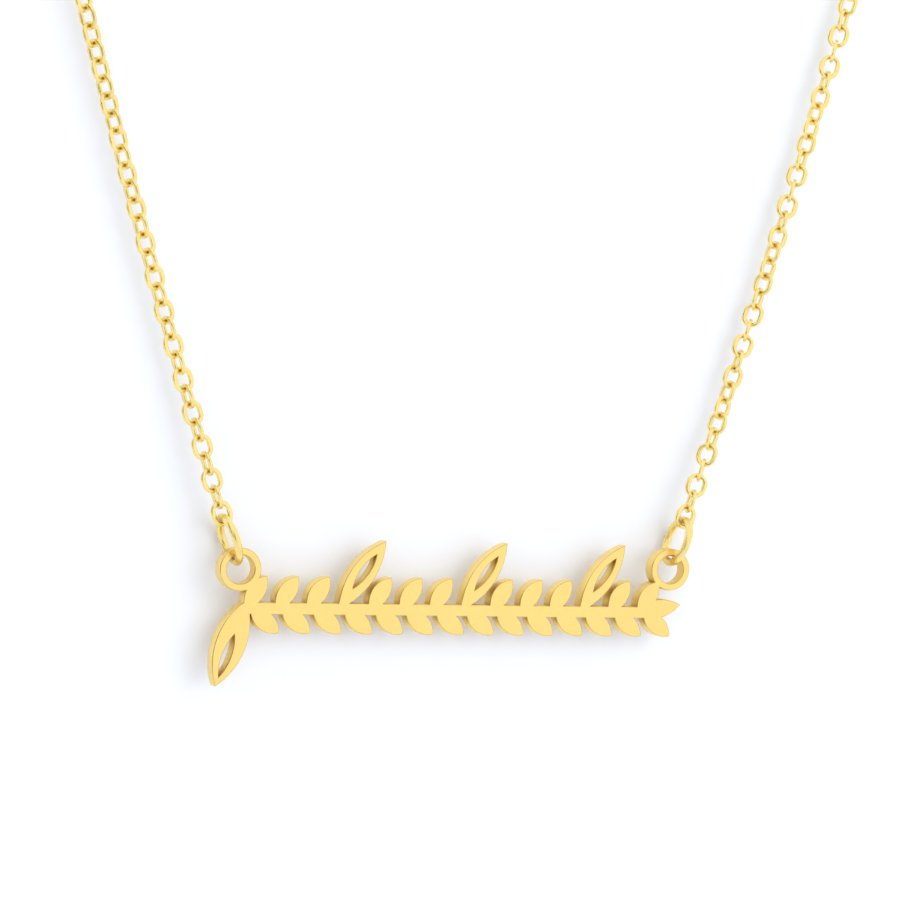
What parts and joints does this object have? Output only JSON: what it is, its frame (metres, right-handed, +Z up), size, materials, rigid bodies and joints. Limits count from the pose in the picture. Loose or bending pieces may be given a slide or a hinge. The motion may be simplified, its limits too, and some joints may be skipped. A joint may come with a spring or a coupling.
{
  "type": "nameplate necklace",
  "caption": "Cable chain necklace with a flat plate cut as a leafy sprig, hung from the chain by a jump ring at each end.",
  "frame": {"origin": "underside of the clasp at the top of the loop, where the necklace hangs", "axes": "+Z up along the hanging loop, front faces -Y, +X to the right seen from the front"},
  "size_m": [0.1033, 0.005, 0.1633],
  "materials": {
    "plate_gold": "polished yellow gold plating on the flat plate",
    "chain_gold": "polished yellow gold plating on the chain's links",
    "ring_gold": "polished yellow gold plating on round wire"
  },
  "bodies": {
    "root": {"nameplate": "plate_gold", "jump_ring_left": "ring_gold", "jump_ring_right": "ring_gold", "chain_left": "chain_gold", "chain_right": "chain_gold", "clasp": "ring_gold"}
  },
  "joints": []
}
